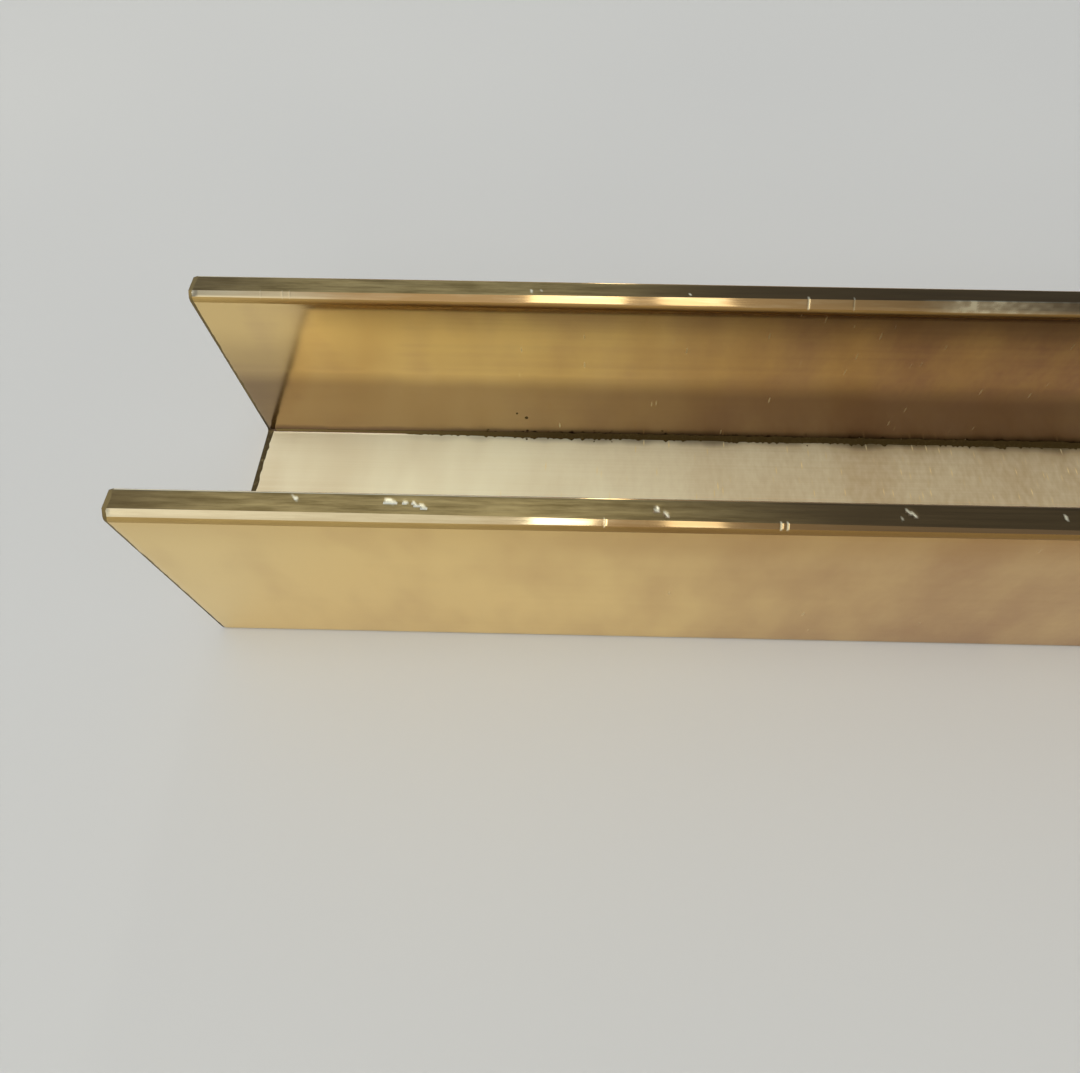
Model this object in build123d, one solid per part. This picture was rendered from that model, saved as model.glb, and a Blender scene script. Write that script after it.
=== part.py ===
from build123d import *
import os

# Brass U-channel, one extruded length lying on its web with the slot upward.
# Millimetres. X runs along the length, Y across the slot and Z upward from
# the floor. The origin is the middle of the underside of the web.

# Driving dimensions of the stock
channel_length = 300.0       # a length that this stock is sold cut to
channel_width = 15.0         # across the outer faces of the two flanges
channel_height = 15.0        # underside of the web to the flange tips
web_wall = 1.5               # floor of the slot
flange_wall = 1.5            # each upright side

# Corners where the flanges meet the web, left by the extrusion die
heel_radius = 0.2            # outside corners, under the channel
root_radius = 0.2            # inside corners, down in the slot

# Flange tips, dressed from the -Y side after extrusion
tip_break = 0.45             # leg of the 45 degree facet on the -Y edge
tip_blend = 0.45             # radius that runs the facet into the upright face
tip_ease = 0.1               # radius on the +Y edge, only just taken off

# Sizes worked out from the ones above
slot_width = channel_width - 2 * flange_wall
slot_depth = channel_height - web_wall


def outer_profile():
    """Whole outline of the stock, before the slot is taken out of it."""
    block = Rectangle(channel_width, channel_height, align=(Align.CENTER, Align.MIN))
    heels = block.vertices().group_by(Axis.Y)[0]
    return fillet(heels, heel_radius)


def slot_profile():
    """The open slot, from the top of the web up to the flange tips."""
    opening = Rectangle(slot_width, slot_depth, align=(Align.CENTER, Align.MIN))
    slot = Pos(0, web_wall) * opening
    roots = slot.vertices().group_by(Axis.Y)[0]
    return fillet(roots, root_radius)


def tip_corners(section):
    """Top corners of both flanges, in order from the -Y side to the +Y side."""
    return section.vertices().group_by(Axis.Y)[-1].sort_by(Axis.X)


def dressed_tips(section):
    """Each tip gets a blended facet on its -Y edge and an eased +Y edge."""
    corners = tip_corners(section)
    section = chamfer([corners[0], corners[2]], tip_break)
    facet_feet = section.vertices().group_by(Axis.Y)[-2]
    section = fillet(facet_feet, tip_blend)
    corners = tip_corners(section)
    return fillet([corners[1], corners[3]], tip_ease)


def channel_profile():
    """U section: the block less its slot, with the tips dressed."""
    return dressed_tips(outer_profile() - slot_profile())


def channel():
    """The U section run out both ways from the middle of the length."""
    across_the_length = Plane(origin=(0, 0, 0), x_dir=(0, 1, 0), z_dir=(1, 0, 0))
    section = across_the_length * channel_profile()
    return extrude(section, channel_length / 2, both=True)


os.makedirs("parts", exist_ok=True)
export_step(channel(), "parts/channel.step")
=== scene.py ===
import math
import random
from functools import partial

import bmesh
import bpy
from bpy.props import FloatProperty, FloatVectorProperty, PointerProperty, StringProperty
from mathutils import Matrix, Vector, noise


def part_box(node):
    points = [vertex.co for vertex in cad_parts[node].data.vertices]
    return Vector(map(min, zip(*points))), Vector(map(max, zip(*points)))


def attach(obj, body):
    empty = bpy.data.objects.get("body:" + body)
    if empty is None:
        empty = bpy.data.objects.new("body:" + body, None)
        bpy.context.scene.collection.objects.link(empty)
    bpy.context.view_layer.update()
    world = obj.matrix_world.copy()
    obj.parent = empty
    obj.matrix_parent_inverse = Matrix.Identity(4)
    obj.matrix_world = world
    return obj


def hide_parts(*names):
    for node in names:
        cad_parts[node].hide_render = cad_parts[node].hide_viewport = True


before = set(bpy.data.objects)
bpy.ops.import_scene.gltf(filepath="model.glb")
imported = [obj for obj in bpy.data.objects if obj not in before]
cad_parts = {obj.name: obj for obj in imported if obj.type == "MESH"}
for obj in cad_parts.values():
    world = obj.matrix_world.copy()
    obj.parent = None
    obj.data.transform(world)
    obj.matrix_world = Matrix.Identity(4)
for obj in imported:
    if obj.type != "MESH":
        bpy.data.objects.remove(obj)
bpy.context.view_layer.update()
channel_low, channel_high = (Vector(corner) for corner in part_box("channel"))

bl_info = {
    "name": "Brass U-Channel",
    "version": (1, 0, 0),
    "blender": (4, 5, 0),
    "location": "View3D > Sidebar > Channel",
    "description": "A length of extruded brass U-channel with dressed flange tips and sawn ends",
    "category": "Object",
}

MM = 0.001
# How near two places have to be to count as one: as they were made, after a
# bevel has moved one of them, and for the middle of a face
TINY = 1e-7
NEAR = 1e-6
LOOSE = 1e-5


# Sizes and colours

def length_prop(name, description, default):
    """A length in metres."""
    return FloatProperty(name=name, description=description, default=default, min=0.0,
                         unit="LENGTH", subtype="DISTANCE", precision=5)


def tone_prop(name, description, default):
    """A colour as an sRGB hex value."""
    return StringProperty(name=name, description=description, default=default)


class ChannelSizes(bpy.types.PropertyGroup):
    """Sizes of the stock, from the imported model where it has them."""

    left_end: FloatProperty(
        name="Left End", description="Where the sawn end at the left stands along X",
        default=channel_low.x, unit="LENGTH", subtype="DISTANCE")
    length: length_prop("Length", "Length that the stock is sawn to",
                        channel_high.x - channel_low.x)
    width: length_prop("Width", "Across the outer faces of the flanges",
                       channel_high.y - channel_low.y)
    height: length_prop("Height", "Underside of the web to the flange tips",
                        channel_high.z - channel_low.z)
    wall: length_prop("Wall", "Thickness of the web and of each flange", 1.5 * MM)
    heel_radius: length_prop("Heel Radius", "Outside corners under the channel", 0.2 * MM)
    root_radius: length_prop("Root Radius", "Inside corners down in the slot", 0.2 * MM)
    tip_break: length_prop("Tip Facet", "Leg of the 45 degree facet on each tip", 0.45 * MM)
    tip_blend: length_prop("Facet Blend", "Radius that runs the facet into the upright face",
                           0.45 * MM)
    tip_ease: length_prop("Tip Ease", "Radius on the other edge of each tip", 0.1 * MM)
    end_break: length_prop("End Break", "How far the burred edge runs in from a sawn end",
                           0.24 * MM)
    close_length: length_prop("Close Length", "Length from the left end that is meshed finely",
                              66 * MM)
    fine_step: length_prop("Fine Step", "Ring spacing on the finely meshed length", 0.11 * MM)
    coarse_step: length_prop("Coarse Step", "Ring spacing on the rest", 0.7 * MM)


class ChannelFinish(bpy.types.PropertyGroup):
    """Colours of the brass and of what lies on it."""

    clean: tone_prop("Clean Brass", "Brass as it left the die", "#FCDD98")
    # the tanned tones are laid on more away from the left end, partly as tan and partly as painted
    # shade for light that falls off to the right
    tanned: tone_prop("Tanned Brass", "Brass after months on a shelf", "#C19866")
    # painted shade: this tone, in a band near the top of the outer faces, stands in for shade
    # under each tip
    band_tan_and_shade: tone_prop("Deep Tan", "Thickest tan on the outer faces", "#B5863A")
    slot_clean: tone_prop("Clean Slot", "Brass inside the slot", "#EFD091")
    slot_tanned: tone_prop("Tanned Slot", "The slot where it has tanned", "#B4937C")
    slot_deep: tone_prop("Deep Slot Tan", "Film where no cloth reaches", "#78614F")
    web_clean: tone_prop("Clean Web", "Paler, satin brass on the web", "#F3ECCD")
    web_tanned: tone_prop("Tanned Web", "The web where it has tanned", "#D6C29A")
    web_deep: tone_prop("Deep Web Tan", "The web close to the roots", "#B39A6B")
    # painted shade: the blend tones make the brown line under each facet, where its curve mirrors
    # darker surroundings
    blend: tone_prop("Blend", "Brown rub line under each facet", "#C8A868")
    blend_tanned: tone_prop("Tanned Blend", "The rub line where it has tanned", "#9C7945")
    tip_oxide: tone_prop("Tip Oxide", "Dull film on the flat of each tip", "#AB9561")
    tip_oxide_dark: tone_prop("Dark Tip Oxide", "Thicker film on the tips", "#7C693F")
    tip_black: tone_prop("Black Tip Oxide", "Thickest film, away from the left end", "#52432D")
    facet: tone_prop("Facet", "Dressed facet along each tip", "#FBEFCA")
    # the tanned and dark facet tones, laid on further right, are partly tan and partly painted
    # shade
    facet_tanned: tone_prop("Tanned Facet", "The facet where it has tanned", "#BE9C6C")
    facet_dark: tone_prop("Dark Facet", "The facet further on, under more film", "#8B7356")
    bare: tone_prop("Bare Metal", "Fresh brass in a scratch", "#FFF4CC")
    burr: tone_prop("Burr", "Burnt edge left by the saw", "#52442A")
    grime: tone_prop("Grime", "Dirt that has settled in the roots", "#463719")


class StudioStage(bpy.types.PropertyGroup):
    """Floor, light and camera."""

    floor: tone_prop("Floor", "Pale floor under the channel", "#C6C3B9")
    floor_cloud: tone_prop("Floor Cloud", "Second tone of the floor", "#9A9A9D")
    sky_top: tone_prop("Sky Top", "Soft light from overhead", "#E6ECF8")
    sky_back: tone_prop("Sky Back", "Soft light from behind", "#BCC8E0")
    sky_gap: tone_prop("Sky Gap", "Dimmer strip between the top and the front", "#8A8B8F")
    sky_front: tone_prop("Sky Front", "Soft light from the front", "#E8E4DC")
    sky_low: tone_prop("Low Front", "Dimmer light from the front, low down", "#D6D0C4")
    backdrop: tone_prop("Backdrop", "Plain pale tone round the horizon", "#D6D6D3")
    right_share: FloatProperty(
        name="Right Share", description="Light from the right, as a share of that from the left",
        default=0.55, min=0.0, max=1.0, subtype="FACTOR")
    key_power: FloatProperty(
        name="Key Power", description="Power of the soft box overhead",
        default=3.3, min=0.0, unit="POWER")
    side_power: FloatProperty(
        name="Side Power", description="Power of the soft box at the left",
        default=0.25, min=0.0, unit="POWER")
    focal_length: FloatProperty(
        name="Focal Length", description="Lens of the camera in millimetres",
        default=26.914, min=1.0)
    camera_place: FloatVectorProperty(
        name="Camera", description="Where the camera stands", size=3, unit="LENGTH",
        subtype="TRANSLATION", default=(-127.108 * MM, -23.813 * MM, 48.030 * MM), precision=5)
    camera_turn: FloatVectorProperty(
        name="Camera Turn", description="Yaw, pitch down and roll of the camera", size=3,
        unit="ROTATION", default=(-0.017046, 0.990760, -0.004843), precision=5)
    camera_shift: FloatVectorProperty(
        name="Camera Shift", description="Sideways and upward shift of the frame", size=2,
        default=(-0.05, -0.1005), precision=4)


# Small tools

def colour(hex_value):
    """sRGB hex to linear RGBA."""
    parts = [int(hex_value[i:i + 2], 16) / 255 for i in (1, 3, 5)]
    return tuple(p / 12.92 if p <= 0.04045 else ((p + 0.055) / 1.055) ** 2.4
                 for p in parts) + (1.0,)


def smooth(low, high, value):
    """0 below low, 1 above high, and a soft run between."""
    t = min(max((value - low) / (high - low), 0.0), 1.0)
    return t * t * (3 - 2 * t)


def connect(node, sockets):
    """Give sockets, by name or in their order, a value or a link.

    The link comes from a socket, or from a node's first one.
    """
    if not isinstance(sockets, dict):
        sockets = dict(enumerate(sockets))
    for name, value in sockets.items():
        if isinstance(value, bpy.types.Node):
            value = value.outputs[0]
        if isinstance(value, bpy.types.NodeSocket):
            node.id_data.links.new(value, node.inputs[name])
        else:
            node.inputs[name].default_value = value


def add_node(tree, kind, sockets=(), **settings):
    """Add a shader node with its settings and links.

    The sockets of a Map Range node are its value, from what to what it runs,
    and what that becomes.
    """
    node = tree.nodes.new("ShaderNode" + kind)
    for name, value in settings.items():
        setattr(node, name, value)
    connect(node, sockets)
    return node


def new_nodes(owner):
    """Clear the nodes of a material or world, and return what adds new ones."""
    owner.use_nodes = True
    owner.node_tree.nodes.clear()
    return partial(add_node, owner.node_tree)


def new_material(name, **sockets):
    """An empty material with its output and a shader, of metal unless told otherwise."""
    material = bpy.data.materials.new(name)
    add = new_nodes(material)
    shader = add("BsdfPrincipled", {"Metallic": 1.0, **sockets})
    add("OutputMaterial", {"Surface": shader})
    return material, add, shader


def millimetres(add):
    """Object coordinates in millimetres, whole and as their three parts."""
    place = add("TexCoord").outputs["Object"]
    scaled = add("Mapping", {"Vector": place, "Scale": (1000, 1000, 1000)})
    return scaled, add("SeparateXYZ", (scaled,)).outputs


def surface_run(add, parts, along, across, offset=0.0):
    """Distance along the channel and round its section, scaled, for 2D patterns."""
    run = add("Math", (parts[1], parts[2]), operation="ADD")
    flat = add("CombineXYZ", (parts[0], run))
    return add("Mapping", {"Vector": flat, "Location": (offset, offset, 0),
                           "Scale": (along, across, 1)})


def surface_noise(add, parts, run, detail, becomes, spread=(0.3, 0.7), roughness=0.5):
    """A noise over the surface, plain and with its spread brought to a range."""
    field = add("TexNoise", {"Vector": surface_run(add, parts, *run), "Scale": 1.0,
                             "Detail": detail, "Roughness": roughness})
    return field, add("MapRange", (field, *spread, *becomes))


def layered(add, under, *layers):
    """Colours laid over one another, each by an amount of its own."""
    # a Mix node has its colours at 6 and 7, and gives the mixed one at 2
    under = colour(under)
    for amount, over in layers:
        under = add("Mix", {0: amount, 6: under, 7: colour(over)}, data_type="RGBA").outputs[2]
    return under


def finished_object(name, bm, materials, sharp=None):
    """Put a finished shape into the scene as an object at the origin.

    With an angle in degrees it is shaded smooth, apart from the edges where
    faces meet at more than that.
    """
    mesh = bpy.data.meshes.new(name)
    bm.to_mesh(mesh)
    bm.free()
    for material in materials:
        mesh.materials.append(material)
    if sharp is not None:
        mesh.shade_smooth()
        mesh.set_sharp_from_angle(angle=math.radians(sharp))
    piece = bpy.data.objects.new(name, mesh)
    bpy.context.scene.collection.objects.link(piece)
    return piece


# Materials. Places in them are in millimetres, and the left end is at x -150.

def extruded_brass(name, tones, gloss, uneven, rubs, bands, axis=2, left_end_darkening=0.0, soil=None):
    """Brass, extruded and left bright from the die.

    The flanges mirror softly, drawn out by faint die lines along the length.
    The web has run over the die's tongue and is only satin. All of it has
    tanned unevenly, more where no cloth reaches, and small rub marks lie
    across it. Away from the left end it darkens, partly as tan and partly as
    painted shade for light that falls off to the right.

    tones: clean and tanned brass, the tone of the bands, and fresh metal.
    gloss: least and most roughness.
    uneven: strength of the blotches, streaks and grain in the tan.
    rubs: share of the ground that has a rub mark, and how bare that is.
    bands: darker bands, of tan and, near the top of the outer faces, of
    painted shade under the tips, as where each starts and is full, how thick it
    is at the left and further right, and how far it sinks between the two.
    axis: what the bands go by, 2 for height or 1 for the way from the middle.
    left_end_darkening: how much of the tanned tone is laid on at the very left end.
    soil: stain beside the crust, as where it starts and is full, and its tone.
    """
    clean, tanned, band_tan_and_shade, bare = tones
    material, add, shader = new_material(name)
    parts = millimetres(add)[1]

    # tan, and painted shade for light that falls off to the right: the left 15 mm stays clean, the
    # rest wanders over some 40 mm
    along = add("MapRange", (parts[0], -140.0, -100.0), interpolation_type="SMOOTHSTEP")
    drifted = surface_noise(add, parts, (0.025, 0.03, 3.1), 2.0, (0.55, 1.0), (0.25, 0.6))[1]
    settled = add("Math", (along, drifted), operation="MULTIPLY")
    # more of the tanned tone at the very left end
    left_end_mask = add("MapRange", (parts[0], -150.0, -137.0, left_end_darkening, 0.0))
    tan = add("Math", (settled, left_end_mask), operation="ADD")

    # upright blotches about 5 mm wide, faint streaks along the length, and a
    # grain of some 0.4 mm that shows where the tan is thicker
    (blotch, blotched), (_, streaked), (_, grained) = (
        surface_noise(add, parts, run, detail, (-strength, strength))
        for run, detail, strength in (((0.28, 0.12), 2.5, uneven[0]),
                                      ((0.04, 1.6, 8.3), 3.0, uneven[1]),
                                      ((2.8, 1.2, 5.2), 2.0, uneven[2])))
    mottle = add("Math", (blotched, streaked), operation="ADD")
    grainy = add("Math", (grained, along, mottle), operation="MULTIPLY_ADD")
    film = add("Math", (tan, grainy), operation="ADD", use_clamp=True)

    # the bands' edges wander with the blotches, by half of this to either side
    wandering = 1.2
    place = add("Math", (parts[axis],), operation="ABSOLUTE")
    wander = add("Math", (blotch, wandering, place), operation="MULTIPLY_ADD")
    sunk = add("MapRange", (parts[0], -143.0, -105.0))
    tan_and_shade_bands = None
    for starts, full, at_left, at_right, sinks in bands:
        most = add("MapRange", (along, 0.0, 1.0, at_left, at_right))
        level = add("Math", (sunk, sinks, wander), operation="MULTIPLY_ADD")
        band = add("MapRange", (level, starts + wandering / 2, full + wandering / 2, 0.0, most),
                   interpolation_type="SMOOTHSTEP")
        if tan_and_shade_bands:
            band = add("Math", (band, tan_and_shade_bands), operation="MAXIMUM")
        tan_and_shade_bands = band
    layers = [(film, tanned), (tan_and_shade_bands, band_tan_and_shade)]
    if soil:
        # dirt has stained the metal beside the crust in the root
        starts, full, stain = soil
        most = add("MapRange", (parts[0], -142.0, -128.0, 0.0, 0.6))
        soiled = add("MapRange", (wander, starts + wandering / 2, full + wandering / 2, 0.0, most),
                     interpolation_type="SMOOTHSTEP")
        layers.append((soiled, stain))

    # rub marks across the length, some 0.5 x 0.1 mm, closer together away from
    # the left end
    cells = add("TexVoronoi", {"Vector": surface_run(add, parts, 3.5, 0.6, 1.7), "Scale": 1.0},
                voronoi_dimensions="2D")
    chance = add("SeparateColor", (cells.outputs["Color"],))
    dash = add("MapRange", (cells.outputs["Distance"], 0.06, 0.24, 1.0, 0.0))
    crowd = add("MapRange", (parts[0], -135.0, -105.0, 0.998, 1.0 - rubs[0]))
    chosen = add("Math", (chance, crowd), operation="GREATER_THAN")
    rub = add("Math", (dash, chosen), operation="MULTIPLY")
    strength = add("Math", (chance.outputs[1], rubs[1]), operation="MULTIPLY")
    faint = add("Math", (rub, strength), operation="MULTIPLY")
    layers.append((faint, bare))

    # die lines: real ones are some 0.02 mm apart, drawn at 0.12 mm to show. Rub
    # marks and film take some of the gloss.
    lines, shine = surface_noise(add, parts, (0.05, 8.0), 3.0, gloss, (0.25, 0.75), 0.6)
    dulled = add("Math", (faint, 0.5, shine), operation="MULTIPLY_ADD")
    filmed = add("Math", (along, 0.07, dulled), operation="MULTIPLY_ADD")

    # the rolled-out waviness of the faces, a few millimetres long
    waves = add("TexNoise", {"Vector": surface_run(add, parts, 0.16, 0.35), "Scale": 1.0,
                             "Detail": 2.0})
    wavy = add("Bump", {"Strength": 0.25, "Distance": 0.00002, "Height": waves})
    lined = add("Bump", {"Strength": 0.15, "Distance": 0.000004, "Height": lines, "Normal": wavy})
    connect(shader, {"Base Color": layered(add, clean, *layers), "Roughness": filmed,
                     "Normal": lined})
    return material


def oxidised_tip(finish):
    """Brass, sheared and left to oxidise along the flat of each flange tip.

    A dull olive-brown film with lengthwise drag lines. Where something has
    knocked it the fresh metal shows.
    """
    material, add, shader = new_material("brass_oxidised_tip")
    parts = millimetres(add)[1]
    thick = surface_noise(add, parts, (0.30, 3.2), 5.0, (0.0, 1.0), (0.35, 0.65), 0.65)[1]
    left_end_darkening = add("MapRange", (parts[0], -150.0, -143.0, 0.6, 0.0),
                  interpolation_type="SMOOTHSTEP")
    # the far tip has darkened nearer to the left end than the near one
    place = add("Math", (parts[1], 0.35, parts[0]), operation="MULTIPLY_ADD")
    darker_to_right = add("MapRange", (place, -133.0, -117.0, 0.0, 0.95),
                  interpolation_type="SMOOTHSTEP")
    darker = add("Math", (left_end_darkening, darker_to_right), operation="MAXIMUM")
    worn = add("Attribute", attribute_name="bare", attribute_type="GEOMETRY").outputs["Fac"]
    film = layered(add, finish.tip_oxide, (thick, finish.tip_oxide_dark),
                   (darker, finish.tip_black), (worn, finish.bare))
    drag, rough = surface_noise(add, parts, (0.15, 9.0), 3.0, (0.30, 0.45))
    lined = add("Bump", {"Strength": 0.4, "Distance": 0.00001, "Height": drag})
    connect(shader, {"Base Color": film, "Roughness": rough, "Normal": lined})
    return material


def dressed_facet(finish, name, bright, dull, dark, shine):
    """Brass, filed to a facet and rubbed bright by handling.

    The facet is the brightest line on the stock, and glints where it meets a
    lamp. The blend under it is brass painted browner, as painted shade for the
    darker surroundings that its curve mirrors.
    """
    material, add, shader = new_material(name)
    parts = millimetres(add)[1]
    duller = surface_noise(add, parts, (0.35, 2.5, 5.0), 3.0, (0.0, 1.0), (0.35, 0.65), 0.6)[1]
    # the far facet has tanned nearer to the left end than the near one, partly as tan and partly
    # as painted shade for light that falls off to the right
    place = add("Math", (parts[0], parts[1]), operation="ADD")
    along = add("MapRange", (place, -143.5, -131.0, 0.0, 0.9), interpolation_type="SMOOTHSTEP")
    tanned = add("Math", (duller, 0.2, along), operation="MULTIPLY_ADD", use_clamp=True)
    # but the near one goes dark sooner, partly as tan and partly as painted shade
    reverse = add("Math", (parts[0], parts[1]), operation="SUBTRACT")
    darker_to_right = add("MapRange", (reverse, -122.0, -97.0), interpolation_type="SMOOTHSTEP")
    worn = add("Attribute", attribute_name="bare", attribute_type="GEOMETRY").outputs["Fac"]
    film = layered(add, bright, (tanned, dull), (darker_to_right, dark), (worn, finish.bare))
    # file lines, some 0.15 mm apart
    rough = surface_noise(add, parts, (0.2, 7.0), 2.0, (shine, shine + 0.04))[1]
    scraped = add("Math", (worn, 0.4, rough), operation="MULTIPLY_ADD")
    connect(shader, {"Base Color": film, "Roughness": scraped})
    return material


def sawn_brass(finish):
    """Brass, cross-cut with a fine saw and not finished.

    The blade has scored its end face in close, slightly bowed lines.
    """
    material, add, shader = new_material("brass_sawn_end")
    # blade marks some 0.3 mm apart
    depth = add("TexWave", {"Vector": millimetres(add)[0], "Scale": 1.3, "Distortion": 1.2,
                            "Detail": 3.0, "Detail Scale": 0.6},
                wave_type="BANDS", bands_direction="DIAGONAL").outputs[1]
    rough = add("MapRange", (depth, 0.0, 1.0, 0.3, 0.5))
    bump = add("Bump", {"Strength": 0.5, "Distance": 0.00002, "Height": depth})
    connect(shader, {"Base Color": layered(add, finish.tanned, (depth, finish.facet)),
                     "Roughness": rough, "Normal": bump})
    return material


def burnt_edge(finish):
    """Brass, torn and heated by the saw along the rim of the cut.

    It reads as a thin dark brown line round each end, with a few places where
    the metal still shows.
    """
    material, add, shader = new_material("brass_burnt_edge")
    whole, parts = millimetres(add)
    torn = add("TexNoise", {"Vector": whole, "Scale": 3.0, "Detail": 4.0, "Roughness": 0.7})
    worn = add("MapRange", (torn, 0.55, 0.8, 0.0, 0.5))
    # the blade left less on the flanges than on the web
    risen = add("MapRange", (parts[2], 2.0, 5.0, 0.0, 0.45))
    faded = add("Math", (worn, risen), operation="MAXIMUM")
    rough = add("MapRange", (torn, 0.0, 1.0, 0.65, 0.35))
    bump = add("Bump", {"Strength": 0.6, "Distance": 0.00002, "Height": torn})
    connect(shader, {"Base Color": layered(add, finish.burr, (faded, finish.tip_oxide)),
                     "Roughness": rough, "Normal": bump})
    return material


def settled_grime(finish):
    """Dust and old polish, settled in the roots and dried to a dark olive crust.

    It is matt and grainy, the only thing on the stock that doesn't shine.
    """
    material, add, shader = new_material("dust_dried_grime", Metallic=0.0, Roughness=0.85)
    whole, parts = millimetres(add)
    grain = add("TexNoise", {"Vector": whole, "Scale": 6.0, "Detail": 4.0})
    pale = add("MapRange", (grain, 0.55, 0.8, 0.0, 0.3))
    # the first 15 mm are only stained brown
    thin = add("MapRange", (parts[0], -148.0, -130.0, 1.0, 0.0))
    paler = add("Math", (pale, thin), operation="MAXIMUM")
    bump = add("Bump", {"Strength": 0.8, "Distance": 0.00003, "Height": grain})
    connect(shader, {"Base Color": layered(add, finish.grime, (paler, finish.tip_oxide_dark)),
                     "Specular IOR Level": 0.1, "Normal": bump})
    return material


# The channel

FLANGE, SLOT, WEB, TIP, FACET, BLEND, SAWN, BURR = range(8)

# The facet leg, in millimetres, that the widths in near_leg and far_leg go with
DRAWN_LEG = 0.45
# Under a facet of that leg the blend begins this far in from the upright face,
# 0.45 mm x tan 22.5 degrees x cos 45 degrees, and ends less than this far below
# the facet's corner
BLEND_IN, BLEND_DOWN = 0.132 * MM, 0.19 * MM
# Where a facet lies at its widest: from and to how far in from the upright
# face, and how far down from the top of the tip
FACET_OUT, FACET_IN, FACET_DOWN = 0.10 * MM, 0.62 * MM, 0.50 * MM

# Knocks on the flat of a tip: distance from the left end, distance from the
# middle of the section, length, lean of the mark in degrees, width, depth, all
# in millimetres.
NEAR_KNOCKS = (
    (8.8, -6.35, 0.45, -35, 0.16, 0.02),
    (13.2, -6.42, 0.60, -8, 0.26, 0.04),
    (13.9, -6.46, 0.30, -40, 0.16, 0.03),
    (14.35, -6.52, 0.34, -45, 0.16, 0.04),
    (14.75, -6.66, 0.36, -52, 0.14, 0.05),
    (25.5, -6.55, 0.34, 75, 0.18, 0.05),
    (25.95, -6.80, 0.40, -62, 0.12, 0.05),
    (37.2, -6.55, 0.62, -42, 0.12, 0.06),
    (36.7, -6.75, 0.40, 70, 0.07, 0.03),
    (44.2, -6.55, 0.30, 80, 0.06, 0.02),
)
FAR_KNOCKS = (
    (18.9, 6.75, 0.20, 75, 0.06, 0.02),
    (19.4, 6.72, 0.20, 70, 0.06, 0.02),
    (27.6, 6.70, 0.24, 75, 0.08, 0.02),
)
# Ticks that cross a facet: distance from the left end and half width in
# millimetres, and how bare they are
NEAR_TICKS = ((23.1, 0.05, 0.5), (31.15, 0.07, 0.9), (31.45, 0.07, 0.9))
FAR_TICKS = ((4.0, 0.04, 0.3), (5.2, 0.05, 0.3), (5.6, 0.04, 0.25), (34.1, 0.08, 0.6),
             (36.6, 0.06, 0.4))
# Where the far facet has been scuffed: start, most, end of it, in millimetres
# from the left end
SCUFF = (39.8, 43.2, 50.0)
# How many more knocks and ticks each tip has past the photograph's edge, and
# from where to where, in millimetres from the left end
MORE_KNOCKS, MORE_TICKS = 26, 14
UNSEEN = (50, 298)

# Crumbs of grime that lie apart from the crust: distance from the left end,
# distance out from the far wall, height above the web, and size, in
# millimetres. Each root has some finer ones as well.
CRUMBS = ((15.2, 0.0, 0.55, 0.15), (17.3, 0.0, 2.6, 0.13), (17.9, 0.0, 2.1, 0.20),
          (17.8, 0.35, 0.0, 0.16), (32.1, 0.30, 0.0, 0.18), (22.4, 0.45, 0.0, 0.10),
          (27.0, 0.0, 0.8, 0.12))
FINE_CRUMBS = 70


def near_leg(run, sizes):
    """Leg of the near facet at a distance from the left end. It narrows."""
    wander = noise.noise(Vector((run / (14 * MM), 3.7, 0))) * 0.06 + noise.noise(
        Vector((run / (45 * MM), 8.1, 0))) * 0.14 * smooth(45 * MM, 80 * MM, run)
    narrowing = 0.42 - 0.16 * smooth(10 * MM, 52 * MM, run) + 0.16 * smooth(60 * MM, 120 * MM, run)
    return (narrowing + wander * 0.4) * sizes.tip_break / DRAWN_LEG


def far_leg(run, sizes):
    """Leg of the far facet at a distance from the left end. It widens."""
    wander = noise.noise(Vector((run / (16 * MM), 1.3, 5))) * 0.05 + noise.noise(
        Vector((run / (50 * MM), 6.4, 2))) * 0.14 * smooth(45 * MM, 80 * MM, run)
    widening = 0.37 + 0.20 * smooth(-8 * MM, 60 * MM, run) - 0.12 * smooth(70 * MM, 130 * MM, run)
    return (widening + wander * 0.4) * sizes.tip_break / DRAWN_LEG


def section_outline(bm, sizes):
    """The plain U of the section as one face at the left end."""
    half, wall, top = sizes.width / 2, sizes.wall, sizes.height
    outline = ((-half, 0), (half, 0), (half, top), (half - wall, top), (half - wall, wall),
               (-half + wall, wall), (-half + wall, top), (-half, top))
    return bm.faces.new([bm.verts.new((sizes.left_end, y, z)) for y, z in outline])


def drawn_out(bm, face, length):
    """Extrude a face to the right, and return the points of its far end."""
    drawn = bmesh.ops.extrude_face_region(bm, geom=[face])["geom"]
    ends = [v for v in drawn if isinstance(v, bmesh.types.BMVert)]
    bmesh.ops.translate(bm, verts=ends, vec=(length, 0, 0))
    return ends


def long_edges(bm, where=None):
    """Edges that run along the channel, all or those that a test picks."""
    picked = []
    for edge in bm.edges:
        a, b = (v.co for v in edge.verts)
        if abs(a.y - b.y) < TINY and abs(a.z - b.z) < TINY and abs(a.x - b.x) > TINY:
            if where is None or where(a):
                picked.append(edge)
    return picked


def round_edges(bm, edges, offset, segments):
    """Round some edges, or cut them flat with one segment."""
    bmesh.ops.bevel(bm, geom=edges, offset=offset, segments=segments, profile=0.5,
                    affect="EDGES", material=-1)


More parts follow.
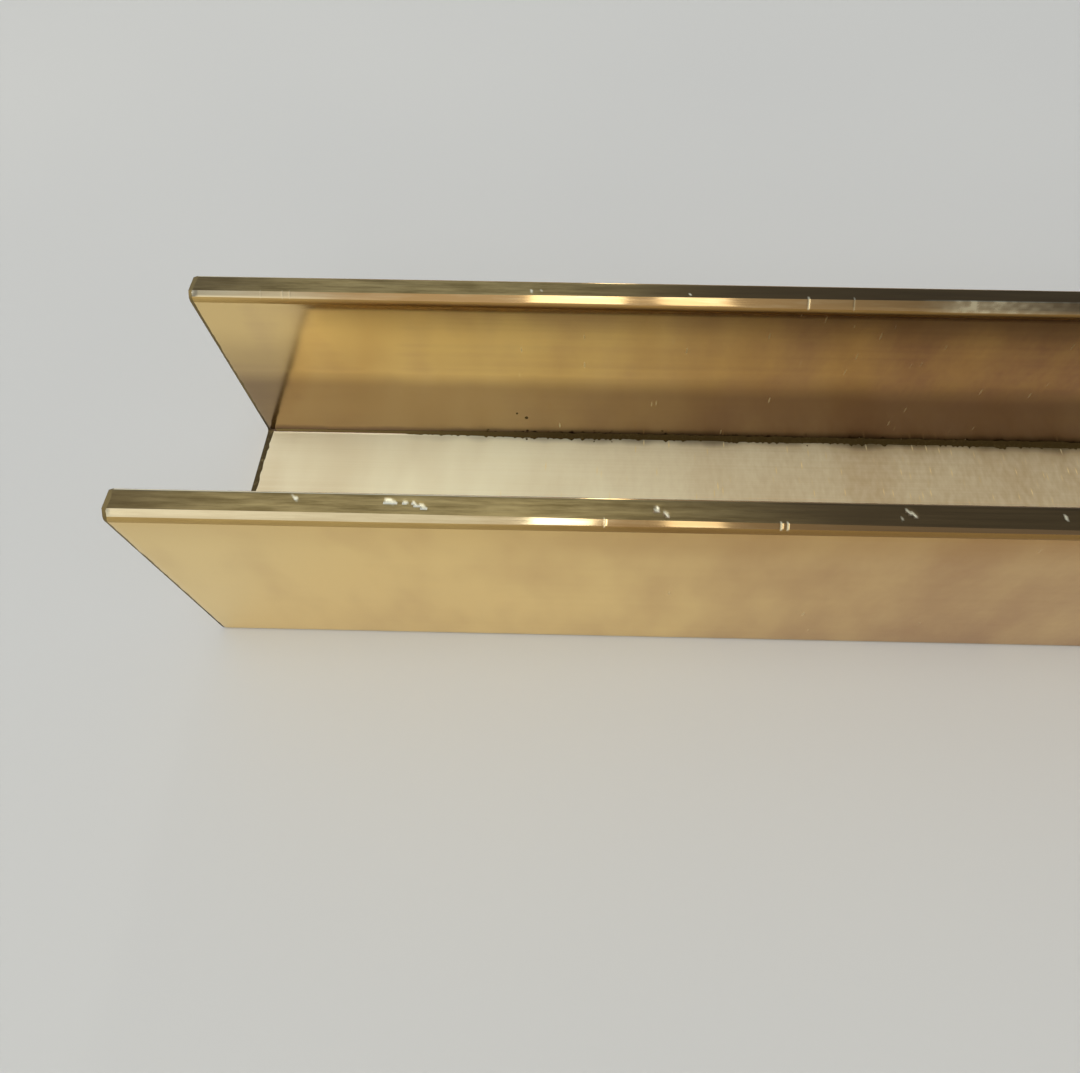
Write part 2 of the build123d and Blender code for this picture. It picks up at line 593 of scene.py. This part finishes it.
def shape_corners(bm, sizes):
    """Heels, roots and the three edges of each dressed tip."""
    half, wall, top = sizes.width / 2, sizes.wall, sizes.height
    inner = half - wall

    def at(y, z):
        return long_edges(bm, lambda p: abs(p.y - y) < NEAR and abs(p.z - z) < NEAR)

    for y in (-half, half):
        round_edges(bm, at(y, 0), sizes.heel_radius, 4)
    for y in (-inner, inner):
        round_edges(bm, at(y, wall), sizes.root_radius, 4)
    tangent = sizes.tip_blend * math.tan(math.radians(22.5))
    for y in (-half, inner):
        round_edges(bm, at(y, top), sizes.tip_break, 1)
        round_edges(bm, at(y, top - sizes.tip_break), tangent, 4)
    for y in (-inner, half):
        round_edges(bm, at(y, top), sizes.tip_ease, 3)


def cut_across(bm, faces, place, direction):
    """Add one lengthwise line to some faces, where a plane meets them."""
    geometry = faces[:]
    for face in faces:
        geometry += face.edges[:] + face.verts[:]
    # each once, and in the same order in every run, which a set doesn't give
    geometry = list(dict.fromkeys(geometry))
    bmesh.ops.bisect_plane(bm, geom=geometry, plane_co=place, plane_no=direction, dist=TINY)


def add_support_lines(bm, sizes):
    """Lines beside each rounded corner, which keep the flat faces flat, and
    lines along the tips and facets, which the knocks need."""
    half, wall, top = sizes.width / 2, sizes.wall, sizes.height
    inner = half - wall

    def facing(axis, place, low=-half, high=half):
        """Faces that look along Y or Z, at a place on it, in some range of Y."""
        return [f for f in bm.faces if abs(f.normal[axis]) > 0.99
                and abs(f.calc_center_median()[axis] - place) < LOOSE
                and low - LOOSE < f.calc_center_median().y < high + LOOSE]

    up, out = (0, 0, 1), (0, 1, 0)
    # how high they stand, above a heel or root and below a facet or eased edge
    over_heel, over_root, under_facet, under_ease = 0.3 * MM, 1.8 * MM, 13.9 * MM, 14.8 * MM
    for y, low, high in ((-half, over_heel, under_facet), (half, over_heel, under_ease),
                         (-inner, over_root, under_ease), (inner, over_root, under_facet)):
        for z in (low, high):
            cut_across(bm, facing(1, y), (0, 0, z), up)
    # and how far out on the web and under it, just short of the roots and heels
    for z, reach in ((wall, 5.7 * MM), (0.0, 7.2 * MM)):
        for y in (-reach, reach):
            cut_across(bm, facing(2, z), (0, y, 0), out)
    flat_strips, facet_strips = 8, 3
    for start in (-half, inner):
        low, high = start + sizes.tip_break, start + wall - sizes.tip_ease
        for step in range(1, flat_strips):
            place = low + (high - low) * step / flat_strips
            cut_across(bm, facing(2, top, start, start + wall), (0, place, 0), out)
    for start in (-half, inner):
        for step in range(1, facet_strips):
            drop = (sizes.tip_break - BLEND_IN) * step / facet_strips
            slope = [f for f in bm.faces if f.normal.y < -0.6 and f.normal.z > 0.6
                     and abs(f.normal.y + f.normal.z) < 0.02
                     and start - TINY < f.calc_center_median().y < start + sizes.tip_break]
            cut_across(bm, slope, (0, 0, top - drop), up)


def ring_at(bm, place):
    """Cut one ring round the whole channel."""
    bmesh.ops.bisect_plane(bm, geom=bm.verts[:] + bm.edges[:] + bm.faces[:],
                           plane_co=(place, 0, 0), plane_no=(1, 0, 0), dist=2 * NEAR)


def divide_length(bm, sizes):
    """Rings along the channel, close together on the length seen from near by."""
    # the burred edge reaches in from the end, so the first ring stands clear of it
    clear = sizes.left_end + 2.4 * sizes.end_break
    close_end = sizes.left_end + sizes.close_length
    for place in (clear, close_end):
        ring_at(bm, place)
    runs = long_edges(bm)
    fine = [e for e in runs if clear - TINY < min(v.co.x for v in e.verts) < close_end - TINY]
    coarse = [e for e in runs if min(v.co.x for v in e.verts) >= close_end - TINY]
    rest = sizes.length - sizes.close_length
    bmesh.ops.subdivide_edges(bm, edges=fine, cuts=int(sizes.close_length / sizes.fine_step))
    bmesh.ops.subdivide_edges(bm, edges=coarse, cuts=int(rest / sizes.coarse_step))
    # ticks are narrower than the rings are apart, so they bring their own
    for run, width, _ in NEAR_TICKS + FAR_TICKS:
        for side in (-1, 0, 1):
            ring_at(bm, sizes.left_end + (run + side * width) * MM)


def vary_facets(bm, sizes):
    """Let the facets widen and narrow along the length, as hand dressing does."""
    half, wall, top = sizes.width / 2, sizes.wall, sizes.height
    leg = sizes.tip_break
    flat_end = wall - sizes.tip_ease
    for start, law in ((-half, near_leg), (half - wall, far_leg)):
        for vert in bm.verts:
            across, down = vert.co.y - start, top - vert.co.z
            if not (-TINY < across < flat_end + TINY and down < leg + BLEND_DOWN):
                continue
            new_leg = law(vert.co.x - sizes.left_end, sizes)
            if down < TINY and across > leg - NEAR:
                part = (across - leg) / (flat_end - leg)
                vert.co.y = start + new_leg + part * (flat_end - new_leg)
            elif down < leg - BLEND_IN + NEAR and across > BLEND_IN - NEAR:
                part = 1 - down / (leg - BLEND_IN)
                vert.co.y = start + BLEND_IN + part * (new_leg - BLEND_IN)
                vert.co.z = top - (new_leg - BLEND_IN) * (1 - part)
            elif across < BLEND_IN + NEAR:
                vert.co.z -= new_leg - leg


def knock(layer, sizes, mark, tips):
    """One knock: a shallow scar pressed into the tip, with fresh metal in it."""
    run, across, length, lean, width, depth = mark
    centre = Vector((sizes.left_end + run * MM, across * MM))
    turn = math.radians(lean)
    axis = Vector((math.cos(turn), math.sin(turn)))
    for vert in tips:
        offset = Vector((vert.co.x, vert.co.y)) - centre
        if offset.length > length * MM:
            continue
        along = offset.dot(axis) / (length * MM / 2)
        aside = (offset - axis * offset.dot(axis)).length / (width * MM / 2)
        ragged = 0.45 * noise.noise(Vector((vert.co.x, vert.co.y, 0)) / (0.13 * MM))
        # its middle half is straight, and its ends are round
        reach = math.hypot(max(abs(along) - 0.5, 0) / 0.5, aside) + ragged
        if reach < 1:
            reach = max(reach, 0.0)
            vert.co.z -= depth * MM * (1 - reach * reach)
            vert[layer] = max(vert[layer], 1 - reach ** 3)


def mark_tips(bm, sizes, rng):
    """Knocks and ticks that the photograph shows, and more beyond its edge."""
    half, wall, top = sizes.width / 2, sizes.wall, sizes.height
    layer = bm.verts.layers.float.new("bare")
    for start, law, knocks, ticks in ((-half, near_leg, NEAR_KNOCKS, NEAR_TICKS),
                                      (half - wall, far_leg, FAR_KNOCKS, FAR_TICKS)):
        tips = [v for v in bm.verts
                if start + 0.2 * MM < v.co.y < start + wall and top - v.co.z < NEAR]
        for mark in knocks:
            knock(layer, sizes, mark, tips)
        for _ in range(MORE_KNOCKS):
            run = rng.uniform(*UNSEEN)
            mark = (run, (start / MM) + rng.uniform(0.6, 1.3), rng.uniform(0.2, 0.9),
                    rng.uniform(-80, 80), rng.uniform(0.08, 0.2), rng.uniform(0.01, 0.05))
            knock(layer, sizes, mark, tips)
        # the slope of the facet, and the strip of the flat that it ends in
        facet = [v for v in bm.verts
                 if start + FACET_OUT < v.co.y < start + FACET_IN
                 and TINY < top - v.co.z < FACET_DOWN
                 or start + 0.2 * MM < v.co.y < start + 0.7 * MM and top - v.co.z < NEAR]
        extra = [(rng.uniform(*UNSEEN), rng.uniform(0.04, 0.1), rng.uniform(0.3, 0.9))
                 for _ in range(MORE_TICKS)]
        for run, width, strength in list(ticks) + extra:
            place = sizes.left_end + run * MM
            for vert in facet:
                leg = law(vert.co.x - sizes.left_end, sizes)
                aside = abs(vert.co.x - place) / (width * MM)
                if aside < 0.98 and vert.co.y - start < leg + 0.12 * MM:
                    vert.co.z -= 0.010 * MM * strength * (1 - aside)
                    vert.co.y += 0.006 * MM * strength * (1 - aside)
                    vert[layer] = max(vert[layer], strength * (1 - aside ** 2))
    # the scuff on the far facet: specks of fresh metal, closest at its middle
    first, most, last = (sizes.left_end + run * MM for run in SCUFF)
    start = half - wall
    for vert in bm.verts:
        if not (first < vert.co.x < last and start + FACET_OUT < vert.co.y < start + FACET_IN
                and top - vert.co.z < FACET_DOWN):
            continue
        here = smooth(first, most, vert.co.x) * (1 - 0.75 * smooth(most, last, vert.co.x))
        speck = noise.noise(Vector((vert.co.x / (0.45 * MM), vert.co.y / (0.20 * MM), 3.0)))
        vert[layer] = max(vert[layer], here * (0.35 + 0.3 * smooth(-0.30, 0.35, speck)))


def end_face(bm, end):
    """The sawn face, the one at that end with the most corners."""
    flat = [f for f in bm.faces
            if abs(f.calc_center_median().x - end) < 2 * NEAR and abs(f.normal.x) > 0.99]
    return max(flat, key=lambda f: len(f.verts))


def rim_verts(face):
    """Corners of the faces round the sawn face that the face itself lacks."""
    return ({v for edge in face.edges for ring in edge.link_faces for v in ring.verts}
            - set(face.verts))


def burr_ends(bm, sizes):
    """Break the sawn edges: the saw leaves them rough, dull and turned in."""
    for sign, end in ((1, sizes.left_end), (-1, sizes.left_end + sizes.length)):
        bmesh.ops.inset_region(bm, faces=[end_face(bm, end)], thickness=0.06 * MM,
                               use_even_offset=True)
        bm.normal_update()
        face = end_face(bm, end)
        rings = (set(face.verts), rim_verts(face))
        plain = [e for e in bm.edges if e.calc_length() > 0.5 * MM
                 and any(all(v in ring for v in e.verts) for ring in rings)]
        bmesh.ops.subdivide_edges(bm, edges=plain, cuts=40)
        bm.normal_update()
        for vert in rim_verts(end_face(bm, end)):
            rough = noise.noise(vert.co / (0.35 * MM)) * 0.3 + 1.0
            # widest along the web, where the blade broke out, and thin up the flanges
            on_web = (abs(vert.co.z - sizes.wall) < 0.1 * MM
                      and abs(vert.co.y) < sizes.width / 2 - sizes.wall)
            on_tip = vert.co.z > sizes.height - 0.02 * MM
            broken = 1.6 if on_web else 1.1 if on_tip else 0.85
            vert.co.x += sign * sizes.end_break * rough * broken


def slot_of(face, sizes):
    """Which finish a face has."""
    half, top = sizes.width / 2, sizes.height
    left, right = sizes.left_end, sizes.left_end + sizes.length
    centre, normal = face.calc_center_median(), face.normal
    if abs(normal.x) > 0.1 and (centre.x < left + 0.3 * MM or centre.x > right - 0.3 * MM):
        return SAWN if abs(normal.x) > 0.97 else BURR
    if centre.z > top - 0.15 * MM and normal.y > 0.1:
        # the eased edge is as bright as the facet
        return FACET
    if centre.z > top - 0.7 * MM and normal.z > 0.9:
        return TIP
    if centre.z > top - 0.7 * MM and normal.z > 0.64 and normal.y < -0.2:
        return FACET
    if centre.z > top - 0.95 * MM and normal.z > 0.02 and normal.y < -0.2:
        return BLEND
    if centre.z < sizes.wall + 0.02 * MM and abs(normal.z) > 0.9:
        return WEB
    if abs(centre.y) < half - sizes.wall + 0.01 * MM:
        return SLOT
    return FLANGE


def channel_materials(finish):
    """The finishes of the channel, in the order of FLANGE to BURR."""
    return (
        extruded_brass(
            "brass_extruded_bright", (finish.clean, finish.tanned, finish.band_tan_and_shade, finish.bare),
            gloss=(0.11, 0.19), uneven=(0.20, 0.02, 0.04), rubs=(0.016, 0.5),
            # the band near the top of the outer faces is painted shade under each tip, more of it
            # further right
            bands=((11.0, 14.3, 0.15, 0.5, 0.0),)),
        extruded_brass(
            "brass_extruded_slot",
            (finish.slot_clean, finish.slot_tanned, finish.slot_deep, finish.bare),
            gloss=(0.12, 0.17), uneven=(0.25, 0.08, 0.07), rubs=(0.06, 0.5),
            # darker low on the inner faces near the web, and along their top further right
            bands=((10.0, 6.6, 0.75, 0.9, 0.9), (3.4, 1.7, 1.0, 1.0, 0.0),
                   (11.0, 14.2, 0.0, 0.6, 0.0), (12.5, 9.0, 0.35, 0.0, 0.0)),
            soil=(2.7, 1.8, finish.grime)),
        extruded_brass(
            "brass_extruded_satin",
            (finish.web_clean, finish.web_tanned, finish.web_deep, finish.bare),
            gloss=(0.68, 0.78), uneven=(0.18, 0.0, 0.15), rubs=(0.4, 0.8),
            bands=((4.6, 6.0, 0.0, 0.6, 0.0),), axis=1, left_end_darkening=0.55,
            soil=(5.3, 5.95, finish.grime)),
        oxidised_tip(finish),
        dressed_facet(finish, "brass_dressed_facet", finish.facet, finish.facet_tanned,
                      finish.facet_dark, 0.05),
        # the brown line under each facet: brass with painted shade
        dressed_facet(finish, "brass_blend_painted_shade", finish.blend, finish.blend_tanned,
                      finish.blend_tanned, 0.36),
        sawn_brass(finish),
        burnt_edge(finish))


class CHANNEL_OT_bar(bpy.types.Operator):
    """Make the length of channel with its dressed tips, knocks and sawn ends"""

    bl_idname = "channel.bar"
    bl_label = "Make Channel"

    def execute(self, context):
        sizes = context.scene.channel_sizes
        bm = bmesh.new()
        drawn_out(bm, section_outline(bm, sizes), sizes.length)
        bm.normal_update()
        if not any(abs(f.normal.x) > 0.99
                   and abs(f.calc_center_median().x - sizes.left_end) < TINY for f in bm.faces):
            raise RuntimeError("the channel has no left end")
        bmesh.ops.recalc_face_normals(bm, faces=bm.faces[:])
        shape_corners(bm, sizes)
        bm.normal_update()
        add_support_lines(bm, sizes)
        divide_length(bm, sizes)
        vary_facets(bm, sizes)
        mark_tips(bm, sizes, random.Random(15))
        bm.normal_update()
        burr_ends(bm, sizes)
        bm.normal_update()
        for face in bm.faces:
            face.material_index = slot_of(face, sizes)
        finishes = channel_materials(context.scene.channel_finish)
        piece = finished_object("brass_channel", bm, finishes, sharp=35)
        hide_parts("channel")
        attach(piece, "root")
        return {"FINISHED"}


def grime_strip(bm, sizes, side, seed):
    """A ragged crust along one root, thin at the left end and wider further on."""
    inner, floor = sizes.width / 2 - sizes.wall, sizes.wall
    left = sizes.left_end
    # the crust stops short of both sawn ends, and is finer as far as it is seen
    margin, seen = 0.6 * MM, 60 * MM
    fine_cuts, coarse_cuts = 620, 560
    # its section: how far out from the wall and above the web each corner is
    corners = ((0.05, -0.05), (0.20, -0.02), (0.17, 0.06), (0.09, 0.20), (0.04, 0.34),
               (-0.02, 0.40))
    start = [bm.verts.new((left + margin, side * (inner - out * MM), floor + up * MM))
             for out, up in corners]
    mine = start + drawn_out(bm, bm.faces.new(start), sizes.length - 2 * margin)
    runs = [e for e in bm.edges if all(v in mine for v in e.verts)
            and abs(e.verts[0].co.x - e.verts[1].co.x) > 1 * MM]
    strips = [f for f in bm.faces if any(e in runs for e in f.edges)]
    bmesh.ops.bisect_plane(bm, geom=mine + runs + strips, plane_co=(left + seen, 0, 0),
                           plane_no=(1, 0, 0), dist=TINY)
    runs = [e for e in bm.edges if abs(e.verts[0].co.x - e.verts[1].co.x) > 1 * MM
            and e.verts[0].co.y * side > 0]
    fine = [e for e in runs if min(v.co.x for v in e.verts) < left + seen - 1 * MM]
    coarse = [e for e in runs if min(v.co.x for v in e.verts) >= left + seen - 1 * MM]
    bmesh.ops.subdivide_edges(bm, edges=fine, cuts=fine_cuts)
    bmesh.ops.subdivide_edges(bm, edges=coarse, cuts=coarse_cuts)
    for vert in bm.verts:
        if vert.co.y * side < 0:
            continue
        run = vert.co.x - left
        growth = smooth(5 * MM, 22 * MM, run)
        wave, tooth, crest = (noise.noise(Vector((run / (size * MM), seed, z)))
                              for size, z in ((1.6, 0), (0.22, 4), (0.4, 9)))
        from_wall, height = inner - abs(vert.co.y), vert.co.z - floor
        if from_wall > 0.15 * MM and height < 0.1 * MM:
            # the foot of the crust, out on the web
            reach = (-0.08 + 0.12 * growth + 0.06 * growth * wave
                     + 0.30 * growth * max(tooth - 0.05, 0.0)) * MM
            vert.co.y -= side * reach
            vert.co.z = floor + (0.03 * MM if height > 0 else -0.03 * MM)
        elif height > 0.12 * MM:
            # its top edge, up the flange
            vert.co.z += (-0.5 * (1 - growth) + 0.35 * growth * crest) * height


def crumb(bm, place, size):
    """One lump of grime, uneven and drawn out, half sunk in what it lies on."""
    lump = bmesh.ops.create_icosphere(bm, subdivisions=1, radius=size * MM / 2)["verts"]
    for vert in lump:
        vert.co *= 1 + 0.4 * noise.noise(vert.co / (0.05 * MM) + place / MM)
        vert.co.x *= 1.3
    bmesh.ops.translate(bm, verts=lump, vec=place)


def lay_crumbs(bm, sizes, rng):
    """The crumbs that the photograph shows, and fine ones along the crust."""
    inner, floor = sizes.width / 2 - sizes.wall, sizes.wall
    for run, out, up, size in CRUMBS:
        place = Vector((sizes.left_end + run * MM, inner - out * MM, floor + up * MM))
        crumb(bm, place, size)
    for side in (-1, 1):
        for _ in range(FINE_CRUMBS):
            run = rng.uniform(18, 297)
            out = rng.uniform(0.25, 0.45)
            place = Vector((sizes.left_end + run * MM, side * (inner - out * MM), floor))
            crumb(bm, place, rng.uniform(0.04, 0.10))


class CHANNEL_OT_grime(bpy.types.Operator):
    """Lay the crust of grime along both roots, with loose crumbs beside it"""

    bl_idname = "channel.grime"
    bl_label = "Lay Grime"

    def execute(self, context):
        sizes = context.scene.channel_sizes
        bm = bmesh.new()
        for side, seed in ((1, 2.5), (-1, 7.5)):
            grime_strip(bm, sizes, side, seed)
        lay_crumbs(bm, sizes, random.Random(4))
        bmesh.ops.recalc_face_normals(bm, faces=bm.faces[:])
        material = settled_grime(context.scene.channel_finish)
        piece = finished_object("root_grime", bm, [material], sharp=50)
        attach(piece, "root")
        return {"FINISHED"}


# Stage

def pale_floor(stage):
    """Plain matt floor, pale and a little uneven in tone."""
    material, add, shader = new_material("floor_matt_pale", Metallic=0.0, Roughness=0.9)
    # clouds some 70 mm across
    cloud = add("TexNoise", {"Vector": add("TexCoord").outputs["Object"], "Scale": 14.0,
                             "Detail": 2.0})
    soft = add("MapRange", (cloud, 0.3, 0.7, 0.0, 0.12))
    connect(shader, {"Base Color": layered(add, stage.floor, (soft, stage.floor_cloud))})
    return material


def soft_room(stage):
    """World light: bright on the left, dim on the right, plain at the horizon."""
    world = bpy.data.worlds.new("soft_room")
    add = new_nodes(world)
    parts = add("SeparateXYZ", (add("TexCoord").outputs["Generated"],)).outputs
    band = add("MapRange", (parts[1], -1.0, 1.0))
    ramp = add("ValToRGB", (band,))
    stops = ramp.color_ramp.elements
    stops[0].position, stops[0].color = 0.07, colour(stage.sky_low)
    stops[1].position, stops[1].color = 0.80, colour(stage.sky_back)
    for position, tone in ((0.10, stage.sky_front), (0.14, stage.sky_front),
                           (0.18, stage.sky_gap), (0.20, stage.sky_gap),
                           (0.28, stage.sky_top), (0.65, stage.sky_top)):
        stops.new(position).color = colour(tone)
    share = add("MapRange", (parts[0], -0.12, 0.38, 1.0, stage.right_share),
                interpolation_type="SMOOTHSTEP")
    # near the horizon it is one plain pale backdrop, which the camera, the
    # metal and the floor all see alike
    above = add("MapRange", (parts[2], 0.22, 0.36), interpolation_type="SMOOTHSTEP")
    tone = add("Mix", {0: above, 6: colour(stage.backdrop), 7: ramp}, data_type="RGBA")
    level = add("MapRange", (above, 0.0, 1.0, 1.0, share))
    light = add("Background", {"Color": tone.outputs[2], "Strength": level})
    add("OutputWorld", {"Surface": light})
    return world


def soft_box(name, place, aim, size, power, tint=(1, 1, 1)):
    """A rectangular lamp that looks at a point."""
    lamp = bpy.data.lights.new(name, "AREA")
    lamp.shape = "RECTANGLE"
    lamp.size, lamp.size_y = size
    lamp.energy = power
    lamp.color = tint
    holder = bpy.data.objects.new(name, lamp)
    bpy.context.scene.collection.objects.link(holder)
    holder.location = place
    holder.rotation_euler = (Vector(aim) - Vector(place)).to_track_quat("-Z", "Y").to_euler()


def photo_camera(stage):
    """The camera, turned by its yaw, its pitch down and its roll."""
    lens = bpy.data.cameras.new("photo_camera")
    lens.sensor_width = 36.0
    lens.lens = stage.focal_length
    lens.shift_x, lens.shift_y = stage.camera_shift
    lens.clip_start, lens.clip_end = 0.004, 20.0
    camera = bpy.data.objects.new("photo_camera", lens)
    bpy.context.scene.collection.objects.link(camera)
    yaw, pitch, roll = stage.camera_turn
    ahead = Vector((math.sin(yaw) * math.cos(pitch), math.cos(yaw) * math.cos(pitch),
                    -math.sin(pitch)))
    right = Vector((math.cos(yaw), -math.sin(yaw), 0))
    down = ahead.cross(right)
    right, down = (math.cos(roll) * right + math.sin(roll) * down,
                   math.cos(roll) * down - math.sin(roll) * right)
    turn = Matrix((right, -down, -ahead)).transposed()
    camera.matrix_world = Matrix.Translation(Vector(stage.camera_place)) @ turn.to_4x4()
    return camera


class CHANNEL_OT_stage(bpy.types.Operator):
    """Set up the floor, the soft light and the camera"""

    bl_idname = "channel.stage"
    bl_label = "Set Stage"

    def execute(self, context):
        scene, stage = context.scene, context.scene.studio_stage
        scene.view_settings.view_transform = "Standard"

        bm = bmesh.new()
        bmesh.ops.create_grid(bm, x_segments=2, y_segments=2, size=3.0)
        # a hair under the channel, so that the two don't share a plane
        bmesh.ops.translate(bm, verts=bm.verts[:], vec=(0, 0, -0.02 * MM))
        finished_object("floor", bm, [pale_floor(stage)])
        scene.world = soft_room(stage)

        middle = (-0.125, 0.0, 0.01)
        soft_box("overhead_box", (-0.20, -0.12, 0.9), middle, (0.35, 0.55), stage.key_power,
                 (0.95, 0.97, 1.0))
        soft_box("left_box", (-0.45, -0.10, 0.25), (-0.14, -0.01, 0), (0.2, 0.2),
                 stage.side_power)
        # narrow boxes a metre away, in front and behind, that the facets and
        # the eased edges of the tips catch as short glints: which side, from
        # where to where along X, how high, how tall and how bright they are
        for name, side, first, last, rise, tall, radiance in (
                ("front_box_a", -1.0, -0.12, 0.04, 0.90, 0.20, 3.0),
                ("front_box_b", -1.0, 0.10, 0.22, 0.90, 0.20, 2.1),
                ("low_box_a", -1.0, -0.107, -0.02, 0.50, 0.20, 3.2),
                ("low_box_b", -1.0, 0.085, 0.165, 0.50, 0.20, 2.0),
                ("back_box", 1.0, -0.024, 0.030, 0.60, 0.40, 6.0),
                ("back_low_box", 1.0, -0.013, 0.040, 0.29, 0.26, 6.0)):
            wide = last - first
            place = (middle[0] + (first + last) / 2, side, rise)
            power = radiance * math.pi * wide * tall
            soft_box(name, place, middle, (wide, tall), power, (0.94, 1.0, 0.98))

        scene.camera = photo_camera(stage)
        return {"FINISHED"}


# Panel and main

class CHANNEL_PT_panel(bpy.types.Panel):
    """Buttons and sizes of the brass channel"""

    bl_idname = "CHANNEL_PT_panel"
    bl_label = "Brass U-Channel"
    bl_space_type = "VIEW_3D"
    bl_region_type = "UI"
    bl_category = "Channel"

    def draw(self, context):
        scene, layout = context.scene, self.layout
        for operator in (CHANNEL_OT_bar, CHANNEL_OT_grime, CHANNEL_OT_stage):
            layout.operator(operator.bl_idname)
        for group in (scene.channel_sizes, scene.channel_finish, scene.studio_stage):
            box = layout.box()
            for name in group.bl_rna.properties.keys():
                if name not in {"rna_type", "name"}:
                    box.prop(group, name)


CLASSES = (ChannelSizes, ChannelFinish, StudioStage, CHANNEL_OT_bar, CHANNEL_OT_grime,
           CHANNEL_OT_stage, CHANNEL_PT_panel)


def register():
    for entry in CLASSES:
        bpy.utils.register_class(entry)
    bpy.types.Scene.channel_sizes = PointerProperty(type=ChannelSizes)
    bpy.types.Scene.channel_finish = PointerProperty(type=ChannelFinish)
    bpy.types.Scene.studio_stage = PointerProperty(type=StudioStage)


def unregister():
    for name in ("channel_sizes", "channel_finish", "studio_stage"):
        delattr(bpy.types.Scene, name)
    for entry in reversed(CLASSES):
        bpy.utils.unregister_class(entry)


def main():
    register()
    bpy.ops.channel.bar()
    bpy.ops.channel.grime()
    bpy.ops.channel.stage()


if __name__ == "__main__":
    main()
